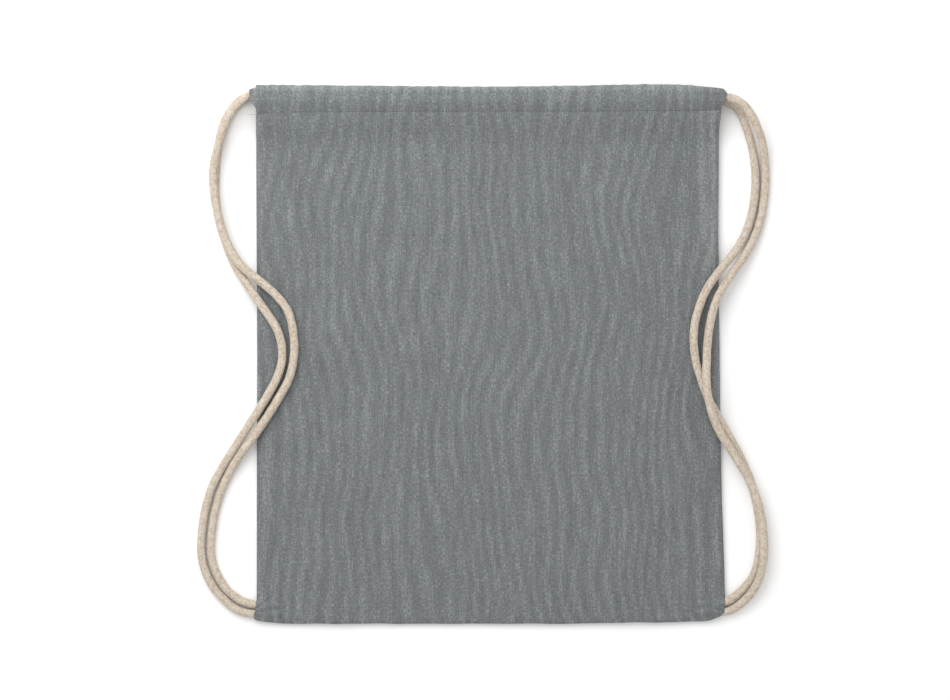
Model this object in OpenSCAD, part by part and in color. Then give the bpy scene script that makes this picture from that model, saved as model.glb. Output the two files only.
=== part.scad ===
// Drawstring backpack: a flat cotton bag with two cords that close its mouth and serve as shoulder straps.
// It lies on its back. +X is the wearer's side to side, +Y runs from the bottom fold to the mouth, +Z is up
// through the front panel. The origin is the middle of the bag's footprint, on the surface it lies on.

/* [Bag] */
// Width of the bag across its side seams
bag_width = 360; // [356:1:364]
// Height of the bag from the bottom fold to the mouth
bag_height = 416; // [412:1:420]
// Thickness of the cloth, with its nap
cloth = 0.6; // [0.4:0.1:0.7]

/* [Casing] */
// Depth of each cord channel along the bag's height
casing_depth = 22; // [22:0.5:23]
// Thickness of each cord channel
casing_thickness = 8; // [7.9:0.1:8.2]
// Gap between the two channels, where the mouth opens
mouth_gap = 4.6; // [4.4:0.1:5]
// How far a channel's end stands out past the side seam
casing_overhang = 4; // [2:0.5:5]

/* [Cords] */
// Diameter of a cord where it hangs free
cord_diameter = 6.5; // [6:0.1:6.5]
// Diameter of a cord inside its channel
cord_in_casing = 6.2; // [5.8:0.1:6.2]
// Distance between the two cords in one channel
lane_pitch = 6.6; // [6.5:0.1:8]
// How far each drawcord slides
cord_travel = 20; // [5:1:20]

/* [Stitching] */
// Number of stitches in a hem
hem_stitches = 60; // [20:1:70]
// Thickness of the sewing thread
thread = 0.4; // [0.2:0.1:0.4]

/* [Hidden] */

cloth_grey = [0.49, 0.50, 0.51];
seam_grey = [0.42, 0.43, 0.44];
cord_beige = [0.78, 0.73, 0.66];
thread_grey = [0.58, 0.59, 0.60];

half_width = bag_width / 2;
half_height = bag_height / 2;
mouth_y = half_height;
hem_y = half_height - casing_depth;

// The bottom fold is a half-round of cloth, and the front panel turns about its axis.
fold_radius = 3.3;
fold_y = -half_height + fold_radius;
fold_opening = 18;

// The front panel's underside: low at the fold, as high as the front channel at the hem,
// and lower along the side seams than in the middle.
panel_start_y = fold_y + 0.2;
panel_low_middle = 2 * fold_radius - cloth;
panel_low_side = 4.2;
front_casing_z = casing_thickness + mouth_gap;
panel_hem_side = casing_thickness;
side_slope = [[half_width - 60, 1], [half_width - 20, 0.5], [half_width, 0]];

function along(y) = (y - panel_start_y) / (hem_y - panel_start_y);
function panel_middle(y) = panel_low_middle + (front_casing_z - panel_low_middle) * along(y);
function panel_side(y) = panel_low_side + (panel_hem_side - panel_low_side) * along(y);
function panel_z(x, y) = panel_side(y) + (panel_middle(y) - panel_side(y)) * lookup(abs(x), side_slope);

panel_columns = [
    -half_width, 20 - half_width, 60 - half_width,
    half_width - 60, half_width - 20, half_width
];
panel_rows = [panel_start_y, hem_y];

// Side seams: the two cloth edges turned inwards.
seam_width = 10;
seam_start_y = -186;
seam_clearance = 0.4;
overlock_width = 1.2;

// Channels and the cords in them: the left cord runs in the upper lane, the right one in the lower lane.
casing_half = half_width + casing_overhang;
upper_lane_y = mouth_y - 6;
lower_lane_y = upper_lane_y - lane_pitch;
back_lane_z = casing_thickness / 2;
front_lane_z = front_casing_z + casing_thickness / 2;
bight_radius = (front_lane_z - back_lane_z) / 2;
exit_x = half_width - 8;
bight_x = half_width - 15;
turn_in_half = bight_x - cord_travel - 1.5;

// Cord ends sewn flat into the bottom corners.
left_corner_lanes_y = [-194.3, -201.1];
right_corner_lanes_y = [-193, -199.6];
corner_end_length = 16;
corner_end_width = 6.4;
corner_end_thickness = 2.6;
tack_positions = [4, 7, 10];
tack_width = 1.2;

stitch_pitch = (bag_width - 12) / hem_stitches;
stitch_length = stitch_pitch * 0.7;
stitch_y = hem_y - 1.1;
tail_length = 6.5;

// Each strap strand's route, from its channel's end to the bottom corner, where both strands are sewn in.
left_front_route = [
    [-172, 202, 16.6], [-178.5, 201.5, 16.6], [-185.3, 199.2, 16.5], [-191.4, 195, 16.3], [-195.9, 190, 15.9],
    [-199.3, 185, 15.2], [-202.2, 180, 14.2], [-204.6, 174.5, 13.2], [-208.4, 163.3, 11.6], [-211.4, 152, 10.6],
    [-213.2, 138, 10], [-212, 122, 9.9], [-209, 106, 9.9], [-204, 90, 9.9], [-197, 76, 10.2],
    [-189, 66, 11.2], [-177, 56.5, 11.6], [-164, 45, 12.4], [-155, 32.5, 12.7], [-151, 16, 12.7],
    [-150.5, 0, 12.5], [-154, -18, 12], [-163, -35, 11.2], [-175, -54, 10.4], [-184, -67, 9.2],
    [-193, -79, 7], [-201.5, -93, 4.6], [-208, -108, 3.3], [-212.5, -124, 3.3], [-215, -142, 3.3],
    [-215.2, -156, 3.3], [-212.2, -166.9, 3.3], [-208, -175.5, 3.3], [-203, -182.4, 3.3],
    [-196.8, -187.8, 3.3], [-189.5, -192, 3.3], [-180, -194.3, 3.3]
];
left_back_route = [
    [-172, 202, 4], [-178.5, 201.9, 4], [-184.8, 200.6, 3.8], [-190.2, 198.1, 3.5], [-194.8, 194.7, 3.3],
    [-198.4, 190.8, 3.3], [-201.4, 186.4, 3.3], [-203.9, 181.8, 3.3], [-206, 176.5, 3.3], [-208.3, 168, 3.3],
    [-210, 157, 3.3], [-211.3, 142, 3.3], [-211.8, 124, 3.3], [-209.5, 106, 3.3], [-205, 90, 3.3],
    [-200, 76, 3.6], [-195, 66, 4.8], [-188.5, 56, 7.6], [-181, 45, 10.8], [-172, 32.5, 11.5],
    [-164, 20, 11.8], [-160, 7, 12], [-160, -6, 11.9], [-164, -19, 11.3], [-171, -32, 10.8],
    [-179, -45, 10.3], [-188, -59, 8.4], [-197, -73, 6], [-206, -87, 4], [-214, -102, 3.3],
    [-219, -118, 3.3], [-222, -136, 3.3], [-222.8, -153, 3.3], [-220.6, -165.2, 3.3], [-216.9, -174.5, 3.3],
    [-212, -182.7, 3.3], [-205.7, -189.6, 3.3], [-199.3, -195.4, 3.3], [-192.5, -199.2, 3.3],
    [-186, -200.8, 3.3], [-180, -201.1, 3.3]
];
right_front_route = [
    [172, 195.4, 16.6], [178, 197, 16.6], [184, 197.7, 16.6], [190.4, 196.1, 16.4], [196.6, 191.9, 15.9],
    [202.1, 185, 14.9], [207.1, 175.2, 12.6], [211.4, 163, 8.6], [213.5, 148, 4.8], [214, 132, 3.4],
    [212.5, 116, 3.3], [209.5, 101, 3.6], [204, 87, 4.8], [197, 75, 6.8], [189, 63.5, 9.2],
    [180.5, 51, 11], [174.5, 38.5, 11.5], [171, 25, 11.6], [168.8, 10, 11.7], [168, -5, 13.2],
    [167.5, -17, 16.3], [168.5, -31, 17.6], [172, -46, 16.6], [178, -60, 14], [186, -72.5, 12.4],
    [193.8, -85, 10.6], [201, -97.5, 9.9], [206.7, -111, 9.9], [210.3, -125, 9.9], [212.2, -140, 9.9],
    [212.6, -154, 9.9], [211.1, -166.5, 9.2], [208, -176, 8], [203.2, -184.6, 6.6], [197.6, -191, 5.2],
    [191.5, -196, 4.2], [185.5, -198.9, 3.5], [180, -199.6, 3.3]
];
right_back_route = [
    [172, 195.4, 4], [178, 196.1, 4], [184, 195.5, 3.8], [190, 192.2, 3.5], [195.2, 185.8, 3.3],
    [199.2, 176, 3.3], [202.9, 164, 3.3], [205.6, 149, 3.3], [206.5, 133, 3.3], [205, 116, 3.3],
    [201.5, 101, 3.4], [196, 88, 5], [188.5, 77, 8.4], [179, 65.5, 11.3], [169, 51.5, 11.9],
    [163, 38.5, 12.3], [159, 24, 12.4], [158, 10, 12.2], [159.5, -4, 11.8], [163, -17, 11.4],
    [168, -31, 10.9], [175, -45, 10.4], [183, -59, 9.2], [190.5, -72, 6.6], [197, -85, 4.4],
    [202.5, -98, 3.3], [206.3, -112, 3.3], [208.8, -126, 3.3], [210, -140, 3.3], [209.2, -155, 3.3],
    [206.6, -167.2, 3.3], [203, -174.6, 3.3], [198, -180.6, 3.3], [192.6, -185.9, 3.3],
    [186.8, -190.3, 3.3], [180, -193, 3.3]
];

cord_sides = 10;
rings_per_leg = 2;

// A point of a smooth curve between b and c, with its neighbours a and d.
function smooth_point(a, b, c, d, t) =
    (2 * b + (c - a) * t + (2 * a - 5 * b + 4 * c - d) * t * t + (3 * b - a - 3 * c + d) * t * t * t) / 2;

function centre_points(route) = [
    for (i = [0 : len(route) - 2])
        for (step = [0 : rings_per_leg - 1])
            smooth_point(
                route[max(i - 1, 0)], route[i], route[i + 1],
                route[min(i + 2, len(route) - 1)], step / rings_per_leg
            ),
    route[len(route) - 1]
];

function unit(v) = v / norm(v);

// The direction of the cord at ring i: straight along X at both ends, where it meets the channel and the seam.
function heading(points, i, side) =
    i == 0 ? [side, 0, 0]
    : i == len(points) - 1 ? [-side, 0, 0]
    : unit(points[i + 1] - points[i - 1]);

function ring(centre, direction, radius) =
    let (across = unit(cross(direction, [0, 0, 1])))
    let (up = cross(across, direction))
    [
        for (k = [0 : cord_sides - 1])
            centre + radius * (across * cos(360 * k / cord_sides) + up * sin(360 * k / cord_sides))
    ];

// A cord along a route, as one closed skin of rings.
module strand(route, side) {
    points = centre_points(route);
    count = len(points);
    skin = [
        for (i = [0 : count - 1]) each ring(points[i], heading(points, i, side), cord_diameter / 2)
    ];
    walls = [
        for (i = [0 : count - 2])
            for (k = [0 : cord_sides - 1])
                let (next = (k + 1) % cord_sides)
                [
                    i * cord_sides + k, i * cord_sides + next,
                    (i + 1) * cord_sides + next, (i + 1) * cord_sides + k
                ]
    ];
    first_end = [for (k = [0 : cord_sides - 1]) cord_sides - 1 - k];
    last_end = [for (k = [0 : cord_sides - 1]) (count - 1) * cord_sides + k];
    color(cord_beige) polyhedron(skin, concat([first_end, last_end], walls), convexity = 8);
}

// A straight length of cord inside a channel.
module cord_run(from_x, to_x, y, z) {
    color(cord_beige)
        translate([from_x, y, z])
            rotate([0, 90, 0])
                cylinder(h = to_x - from_x, d = cord_in_casing, $fn = 48);
}

// The turn that takes a cord from the front channel to the back channel at the far end of the mouth.
module cord_bight(side, y) {
    color(cord_beige)
        translate([side * bight_x, y, (front_lane_z + back_lane_z) / 2])
            rotate([90, 0, 0])
                rotate([0, 0, side > 0 ? -90 : 90])
                    rotate_extrude(angle = 180, $fn = 64)
                        translate([bight_radius, 0])
                            circle(d = cord_in_casing, $fn = 48);
}

module back_panel() {
    color(cloth_grey)
        translate([-half_width, fold_y, 0])
            cube([bag_width, hem_y - fold_y, cloth]);
}

// One closed sheet whose underside follows panel_z.
module front_panel() {
    columns = len(panel_columns);
    under = [for (y = panel_rows) for (x = panel_columns) [x, y, panel_z(x, y)]];
    over = [for (p = under) p + [0, 0, cloth]];
    top = columns * 2;
    under_faces = [
        for (i = [0 : columns - 2])
            each [[i, i + 1, columns + i], [i + 1, columns + i + 1, columns + i]]
    ];
    over_faces = [for (f = under_faces) [f[2] + top, f[1] + top, f[0] + top]];
    fold_edge = [for (i = [0 : columns - 2]) [i + 1, i, i + top, i + 1 + top]];
    hem_edge = [
        for (i = [columns : 2 * columns - 2]) [i, i + 1, i + 1 + top, i + top]
    ];
    side_edges = [
        [0, columns, columns + top, top],
        [2 * columns - 1, columns - 1, columns - 1 + top, 2 * columns - 1 + top]
    ];
    faces = concat(under_faces, over_faces, fold_edge, hem_edge, side_edges);
    color(cloth_grey) polyhedron(concat(under, over), faces, convexity = 4);
}

module bottom_fold() {
    reach = 3 * fold_radius;
    color(cloth_grey)
        translate([-half_width, fold_y, fold_radius])
            rotate([90, 0, 90])
                linear_extrude(bag_width)
                    difference() {
                        circle(r = fold_radius, $fn = 64);
                        circle(r = fold_radius - cloth, $fn = 64);
                        polygon([
                            [0, -reach], [reach, -reach], [reach, reach],
                            [-reach * sin(fold_opening), reach * cos(fold_opening)], [0, 0]
                        ]);
                    }
}

// A bar from the seam's start to the hem that stands from the back panel to just under the front panel.
module seam_bar(x, width, gap) {
    reach = 1;
    hull() {
        translate([x, seam_start_y, cloth])
            cube([width, reach, panel_side(seam_start_y) - cloth - gap]);
        translate([x, hem_y - reach, cloth])
            cube([width, reach, panel_side(hem_y - reach) - cloth - gap]);
    }
}

module side_seam(side) {
    color(seam_grey)
        seam_bar(side > 0 ? half_width - seam_width : -half_width, seam_width, seam_clearance);
}

module seam_overlock(side) {
    inner = half_width - seam_width;
    color(thread_grey)
        seam_bar(side > 0 ? inner - overlock_width : -inner, overlock_width, seam_clearance + cloth);
}

// A channel's outer wall and the rounded-over edge of the mouth.
module casing_wall(outer_z, edge_z) {
    color(cloth_grey)
        union() {
            translate([-casing_half, hem_y, outer_z])
                cube([2 * casing_half, casing_depth, cloth]);
            translate([-casing_half, mouth_y - cloth, edge_z])
                cube([2 * casing_half, cloth, casing_thickness]);
        }
}

// The hem turned into the bag: a channel's inner wall, shorter than the channel, and its sewn-down edge.
module hem_turn_in(inner_z, edge_z) {
    color(cloth_grey)
        union() {
            translate([-turn_in_half, hem_y, inner_z])
                cube([2 * turn_in_half, casing_depth - cloth, cloth]);
            translate([-casing_half, hem_y, edge_z])
                cube([2 * casing_half, cloth, casing_thickness - cloth]);
        }
}

module back_casing() {
    casing_wall(0, 0);
}

module back_hem_turn_in() {
    hem_turn_in(casing_thickness - cloth, cloth);
}

module front_casing() {
    casing_wall(front_casing_z + casing_thickness - cloth, front_casing_z);
}

module front_hem_turn_in() {
    hem_turn_in(front_casing_z, front_casing_z);
}

function stitch_x(i) = -half_width + 6 + i * stitch_pitch;

// The back hem's stitches keep clear of the side seams, which lie on top of that cloth.
module back_hem_stitching() {
    color(thread_grey)
        for (i = [1 : hem_stitches - 2])
            translate([stitch_x(i), stitch_y, cloth])
                cube([stitch_length, 2 * thread, thread]);
}

module front_hem_stitching() {
    color(thread_grey)
        for (i = [0 : hem_stitches - 1])
            let (top = max(panel_z(stitch_x(i), stitch_y), panel_z(stitch_x(i) + stitch_length, stitch_y)))
            translate([stitch_x(i), stitch_y, top + cloth + 0.02])
                cube([stitch_length, 2 * thread, thread]);
}

function corner_lanes_y(side) = side > 0 ? right_corner_lanes_y : left_corner_lanes_y;

module corner_cord_ends(side) {
    color(cord_beige)
        for (y = corner_lanes_y(side))
            translate([side > 0 ? half_width - corner_end_length : -half_width, y - corner_end_width / 2, cloth])
                cube([corner_end_length, corner_end_width, corner_end_thickness]);
}

// Rows of close stitches across both cord ends.
module corner_bartack(side) {
    lanes_y = corner_lanes_y(side);
    front_y = lanes_y[1] - corner_end_width / 2;
    length = lanes_y[0] - lanes_y[1] + corner_end_width;
    color(thread_grey)
        for (inset = tack_positions)
            translate([
                side * (half_width - inset) - tack_width / 2, front_y, cloth + corner_end_thickness
            ])
                cube([tack_width, length, thread]);
}

module thread_tail() {
    tail_y = hem_y - 1;
    color(thread_grey)
        translate([-half_width - tail_length, tail_y, panel_side(tail_y) + cloth / 2])
            rotate([0, 90, 0])
                cylinder(h = tail_length, d = thread, $fn = 24);
}

back_panel();
front_panel();
bottom_fold();
side_seam(-1);  // left_side_seam
side_seam(1);  // right_side_seam
seam_overlock(-1);  // left_seam_overlock
seam_overlock(1);  // right_seam_overlock
back_casing();
back_hem_turn_in();
front_casing();
front_hem_turn_in();
back_hem_stitching();
front_hem_stitching();
cord_run(-exit_x, bight_x, upper_lane_y, front_lane_z);  // left_cord_front_run
cord_run(-exit_x, bight_x, upper_lane_y, back_lane_z);  // left_cord_back_run
cord_bight(1, upper_lane_y);  // left_cord_bight
strand(left_front_route, -1);  // left_front_strap
strand(left_back_route, -1);  // left_back_strap
cord_run(-bight_x, exit_x, lower_lane_y, front_lane_z);  // right_cord_front_run
cord_run(-bight_x, exit_x, lower_lane_y, back_lane_z);  // right_cord_back_run
cord_bight(-1, lower_lane_y);  // right_cord_bight
strand(right_front_route, 1);  // right_front_strap
strand(right_back_route, 1);  // right_back_strap
corner_cord_ends(-1);  // left_corner_cord_ends
corner_cord_ends(1);  // right_corner_cord_ends
corner_bartack(-1);  // left_corner_bartack
corner_bartack(1);  // right_corner_bartack
thread_tail();
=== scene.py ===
"""Looks of a drawstring backpack: heather cotton cloth, hems, stitching and braided cords on the CAD frame.

Everything is in metres in the frame's own axes: +X to the right, +Y to the mouth, +Z up through the front.
"""

import math

import bpy
import numpy as np
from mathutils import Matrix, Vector


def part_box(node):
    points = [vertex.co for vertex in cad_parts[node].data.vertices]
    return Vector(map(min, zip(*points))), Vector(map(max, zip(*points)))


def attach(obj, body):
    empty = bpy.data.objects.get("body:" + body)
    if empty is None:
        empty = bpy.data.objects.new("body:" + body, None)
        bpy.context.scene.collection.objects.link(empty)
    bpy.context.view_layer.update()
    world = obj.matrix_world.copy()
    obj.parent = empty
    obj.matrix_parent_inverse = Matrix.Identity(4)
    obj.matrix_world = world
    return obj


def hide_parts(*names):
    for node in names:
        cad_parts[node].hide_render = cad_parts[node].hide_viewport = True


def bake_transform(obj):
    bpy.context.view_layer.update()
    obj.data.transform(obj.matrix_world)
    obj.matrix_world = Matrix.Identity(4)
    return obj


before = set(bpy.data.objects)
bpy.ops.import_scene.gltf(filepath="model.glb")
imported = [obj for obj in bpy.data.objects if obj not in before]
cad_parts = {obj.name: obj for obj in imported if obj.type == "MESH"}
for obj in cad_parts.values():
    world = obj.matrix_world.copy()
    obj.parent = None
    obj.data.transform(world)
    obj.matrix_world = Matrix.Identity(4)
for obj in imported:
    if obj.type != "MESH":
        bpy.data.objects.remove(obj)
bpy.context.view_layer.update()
MM = 0.001

# ---------------------------------------------------------------- sizes, from the frame
PANEL_LOW, PANEL_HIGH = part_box("back_panel")
HALF = PANEL_HIGH.x
FOLD_Y = PANEL_LOW.y
HEM_Y = PANEL_HIGH.y
MOUTH_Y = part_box("front_casing")[1].y
BACK_RUN_LOW, BACK_RUN_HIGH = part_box("left_cord_back_run")
FRONT_RUN_LOW, FRONT_RUN_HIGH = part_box("left_cord_front_run")
RIGHT_RUN_LOW, RIGHT_RUN_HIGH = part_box("right_cord_front_run")
BACK_LANE_Z = (BACK_RUN_LOW.z + BACK_RUN_HIGH.z) / 2
FRONT_LANE_Z = (FRONT_RUN_LOW.z + FRONT_RUN_HIGH.z) / 2
SIDE_NAMES = {-1: "left", 1: "right"}
CORNER_BOXES = {side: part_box(f"{name}_corner_cord_ends") for side, name in SIDE_NAMES.items()}
UPPER_LANE_Y = (FRONT_RUN_LOW.y + FRONT_RUN_HIGH.y) / 2
LOWER_LANE_Y = (RIGHT_RUN_LOW.y + RIGHT_RUN_HIGH.y) / 2
BIGHT_X = FRONT_RUN_HIGH.x
EXIT_X = -FRONT_RUN_LOW.x
TURN_IN_X = BIGHT_X - 21.5 * MM  # the turned-in hem ends clear of the cords' turns over their whole travel

CLOTH = 0.5 * MM
CORD = 6.5 * MM
CORD_IN_CASING = 6.2 * MM
CHANNEL_LENGTH = 2 * HALF + 8 * MM

# ---------------------------------------------------------------- camera
IMAGE_WIDTH = 735 * MM  # what the picture spans at the bag
LENS = 135.0
SENSOR = 36.0
FAR_END = 20.0
VIEW_CENTRE = (-10.8 * MM, 3.1 * MM)
VIEW_PLANE_Z = 6 * MM


def add_camera():
    data = bpy.data.cameras.new("camera")
    data.lens = LENS
    data.sensor_width = SENSOR
    data.clip_end = FAR_END
    camera = bpy.data.objects.new("camera", data)
    camera.location = (*VIEW_CENTRE, IMAGE_WIDTH * LENS / SENSOR + VIEW_PLANE_Z)
    bpy.context.scene.collection.objects.link(camera)
    bpy.context.scene.camera = camera


# ---------------------------------------------------------------- cord routes, as in the CAD model
LEFT_FRONT_ROUTE = [
    (-172, 202, 16.6), (-178.5, 201.5, 16.6), (-185.3, 199.2, 16.5), (-191.4, 195, 16.3),
    (-195.9, 190, 15.9), (-199.3, 185, 15.2), (-202.2, 180, 14.2), (-204.6, 174.5, 13.2),
    (-208.4, 163.3, 11.6), (-211.4, 152, 10.6), (-213.2, 138, 10), (-212, 122, 9.9), (-209, 106, 9.9),
    (-204, 90, 9.9), (-197, 76, 10.2), (-189, 66, 11.2), (-177, 56.5, 11.6), (-164, 45, 12.4),
    (-155, 32.5, 12.7), (-151, 16, 12.7), (-150.5, 0, 12.5), (-154, -18, 12), (-163, -35, 11.2),
    (-175, -54, 10.4), (-184, -67, 9.2), (-193, -79, 7), (-201.5, -93, 4.6), (-208, -108, 3.3),
    (-212.5, -124, 3.3), (-215, -142, 3.3), (-215.2, -156, 3.3), (-212.2, -166.9, 3.3), (-208, -175.5, 3.3),
    (-203, -182.4, 3.3), (-196.8, -187.8, 3.3), (-189.5, -192, 3.3), (-180, -194.3, 3.3),
]
LEFT_BACK_ROUTE = [
    (-172, 202, 4), (-178.5, 201.9, 4), (-184.8, 200.6, 3.8), (-190.2, 198.1, 3.5), (-194.8, 194.7, 3.3),
    (-198.4, 190.8, 3.3), (-201.4, 186.4, 3.3), (-203.9, 181.8, 3.3), (-206, 176.5, 3.3),
    (-208.3, 168, 3.3), (-210, 157, 3.3), (-211.3, 142, 3.3), (-211.8, 124, 3.3), (-209.5, 106, 3.3),
    (-205, 90, 3.3), (-200, 76, 3.6), (-195, 66, 4.8), (-188.5, 56, 7.6), (-181, 45, 10.8),
    (-172, 32.5, 11.5), (-164, 20, 11.8), (-160, 7, 12), (-160, -6, 11.9), (-164, -19, 11.3),
    (-171, -32, 10.8), (-179, -45, 10.3), (-188, -59, 8.4), (-197, -73, 6), (-206, -87, 4),
    (-214, -102, 3.3), (-219, -118, 3.3), (-222, -136, 3.3), (-222.8, -153, 3.3), (-220.6, -165.2, 3.3),
    (-216.9, -174.5, 3.3), (-212, -182.7, 3.3), (-205.7, -189.6, 3.3), (-199.3, -195.4, 3.3),
    (-192.5, -199.2, 3.3), (-186, -200.8, 3.3), (-180, -201.1, 3.3),
]
RIGHT_FRONT_ROUTE = [
    (172, 195.4, 16.6), (178, 197, 16.6), (184, 197.7, 16.6), (190.4, 196.1, 16.4), (196.6, 191.9, 15.9),
    (202.1, 185, 14.9), (207.1, 175.2, 12.6), (211.4, 163, 8.6), (213.5, 148, 4.8), (214, 132, 3.4),
    (212.5, 116, 3.3), (209.5, 101, 3.6), (204, 87, 4.8), (197, 75, 6.8), (189, 63.5, 9.2), (180.5, 51, 11),
    (174.5, 38.5, 11.5), (171, 25, 11.6), (168.8, 10, 11.7), (168, -5, 13.2), (167.5, -17, 16.3),
    (168.5, -31, 17.6), (172, -46, 16.6), (178, -60, 14), (186, -72.5, 12.4), (193.8, -85, 10.6),
    (201, -97.5, 9.9), (206.7, -111, 9.9), (210.3, -125, 9.9), (212.2, -140, 9.9), (212.6, -154, 9.9),
    (211.1, -166.5, 9.2), (208, -176, 8), (203.2, -184.6, 6.6), (197.6, -191, 5.2), (191.5, -196, 4.2),
    (185.5, -198.9, 3.5), (180, -199.6, 3.3),
]
RIGHT_BACK_ROUTE = [
    (172, 195.4, 4), (178, 196.1, 4), (184, 195.5, 3.8), (190, 192.2, 3.5), (195.2, 185.8, 3.3),
    (199.2, 176, 3.3), (202.9, 164, 3.3), (205.6, 149, 3.3), (206.5, 133, 3.3), (205, 116, 3.3),
    (201.5, 101, 3.4), (196, 88, 5), (188.5, 77, 8.4), (179, 65.5, 11.3), (169, 51.5, 11.9),
    (163, 38.5, 12.3), (159, 24, 12.4), (158, 10, 12.2), (159.5, -4, 11.8), (163, -17, 11.4),
    (168, -31, 10.9), (175, -45, 10.4), (183, -59, 9.2), (190.5, -72, 6.6), (197, -85, 4.4),
    (202.5, -98, 3.3), (206.3, -112, 3.3), (208.8, -126, 3.3), (210, -140, 3.3), (209.2, -155, 3.3),
    (206.6, -167.2, 3.3), (203, -174.6, 3.3), (198, -180.6, 3.3), (192.6, -185.9, 3.3),
    (186.8, -190.3, 3.3), (180, -193, 3.3),
]
INTO_CASING = 16.0  # how far a strap's mesh runs on inside its channel, so that it can slide out
CORD_TRAVEL = 21 * MM  # room left before each cord's turn, which slides towards the other side
INTO_CORNER = 9.0  # and inside the bottom corner


# ---------------------------------------------------------------- small helpers
def smoothstep(t):
    t = np.clip(t, 0.0, 1.0)
    return t * t * (3 - 2 * t)


def soft_noise(x, y, wavelength, seed, waves=11):
    """Smooth seeded noise of about unit size: a sum of plane waves in all directions."""
    rng = np.random.default_rng(seed)
    total = np.zeros(np.broadcast(x, y).shape)
    for _ in range(waves):
        angle = rng.uniform(0, math.pi)
        length = wavelength * rng.uniform(0.65, 1.5)
        phase = rng.uniform(0, 2 * math.pi)
        total += np.cos(2 * math.pi * (x * math.cos(angle) + y * math.sin(angle)) / length + phase)
    return total / math.sqrt(waves / 2)


def curve_through(points, values, soften=3.0):
    """A function of one variable through given points, its corners softened, in millimetres."""
    points, values = np.array(points, float) * MM, np.array(values, float) * MM
    fine = np.arange(points[0], points[-1], 0.2 * MM)
    rough = np.interp(fine, points, values)
    width = max(int(soften / 0.2), 1)
    padded = np.concatenate([np.full(width, rough[0]), rough, np.full(width, rough[-1])])
    smooth = np.convolve(padded, np.ones(2 * width + 1) / (2 * width + 1), "valid")
    return lambda x: np.interp(x, fine, smooth)


def spot(x, y, centre, size):
    """1 at the centre, and fading smoothly away over a size in X and Y, both given in millimetres."""
    across = (x - centre[0] * MM) / (size[0] * MM)
    along = (y - centre[1] * MM) / (size[1] * MM)
    return np.exp(-(across**2) - along**2)


def link(name, data):
    obj = bpy.data.objects.new(name, data)
    bpy.context.scene.collection.objects.link(obj)
    return obj


def build_mesh(name, points, faces, uvs=None, normals=None):
    """A smooth-shaded mesh. uvs and normals are per vertex."""
    mesh = bpy.data.meshes.new(name)
    mesh.from_pydata([tuple(p) for p in points], [], [tuple(int(i) for i in f) for f in faces])
    mesh.update()
    corner = np.zeros(len(mesh.loops), np.int32)
    mesh.loops.foreach_get("vertex_index", corner)
    if uvs is not None:
        layer = mesh.uv_layers.new(name="cloth")
        layer.data.foreach_set("uv", np.asarray(uvs, np.float32)[corner].ravel())
    mesh.shade_smooth()
    if normals is not None:
        mesh.normals_split_custom_set(np.asarray(normals)[corner].tolist())
    return mesh


def grid_normals(grid):
    """Unit normals of a grid of points, along (columns x rows)."""
    along_rows = np.gradient(grid, axis=0)
    along_columns = np.gradient(grid, axis=1)
    normal = np.cross(along_columns, along_rows)
    return normal / np.maximum(np.linalg.norm(normal, axis=2, keepdims=True), 1e-12)


def quads(index):
    """Faces between the neighbouring rows and columns of a grid of vertex numbers."""
    corners = [index[:-1, :-1], index[:-1, 1:], index[1:, 1:], index[1:, :-1]]
    return np.stack(corners, -1).reshape(-1, 4)


def sheet_piece(name, grid, uv, thickness=CLOTH, normals=None):
    """A thin closed sheet of cloth from a grid of points (rows, columns) on its outer face."""
    rows, columns = grid.shape[:2]
    normals = grid_normals(grid) if normals is None else normals
    outer = grid.reshape(-1, 3)
    inner = (grid - normals * thickness).reshape(-1, 3)
    n = rows * columns
    index = np.arange(n).reshape(rows, columns)
    outer_faces = quads(index)
    inner_faces = outer_faces[:, ::-1] + n
    border = np.concatenate([index[0, :], index[1:, -1], index[-1, -2::-1], index[-2:0:-1, 0]])
    following = np.roll(border, -1)
    # The rim has vertices of its own, so that it shades apart from the two faces.
    rim_points = np.concatenate([outer[border], inner[border]])
    m = len(border)
    k = np.arange(m)
    rim_faces = np.stack([k + m, (k + 1) % m + m, (k + 1) % m, k], 1) + 2 * n
    points = np.concatenate([outer, inner, rim_points])
    flat_normals = normals.reshape(-1, 3)
    side = np.cross(outer[following] - outer[border], flat_normals[border])
    side /= np.maximum(np.linalg.norm(side, axis=1, keepdims=True), 1e-12)
    point_normals = np.concatenate([flat_normals, -flat_normals, side, side])
    flat_uv = uv.reshape(-1, 2)
    uvs = np.concatenate([flat_uv, flat_uv, flat_uv[border], flat_uv[border]])
    faces = np.concatenate([outer_faces, inner_faces, rim_faces])
    return link(name, build_mesh(name, points, faces, uvs, point_normals))


def dress(piece, material, node):
    """What every piece needs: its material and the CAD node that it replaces."""
    piece.data.materials.append(material)
    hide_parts(node)


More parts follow.
